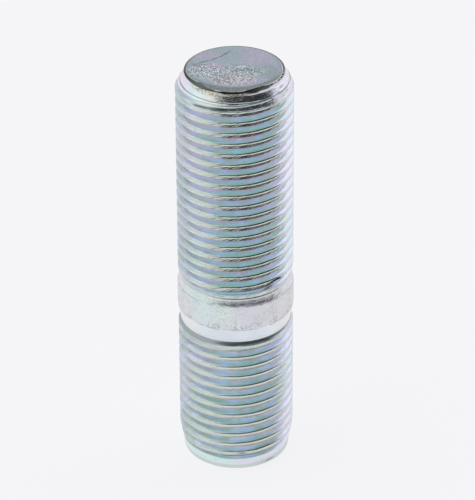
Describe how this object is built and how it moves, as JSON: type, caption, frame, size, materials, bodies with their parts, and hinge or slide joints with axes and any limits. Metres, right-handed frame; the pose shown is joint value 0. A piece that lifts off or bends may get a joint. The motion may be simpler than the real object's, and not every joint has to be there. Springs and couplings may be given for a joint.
{
  "type": "threaded stud",
  "caption": "Steel wheel stud with a screw thread at each end and a short plain collar between them, for fixing a wheel to a hub with a nut.",
  "frame": {"origin": "centre of the flat lower end, on the surface that the stud stands on", "axes": "+Z along the stud, from the short threaded end to the long one"},
  "size_m": [0.0128, 0.0128, 0.0476],
  "materials": {
    "zinc_plated_steel": "bright zinc plating with a thin clear-blue passivated film"
  },
  "bodies": {
    "root": {"threaded_stud": "zinc_plated_steel"}
  },
  "joints": []
}
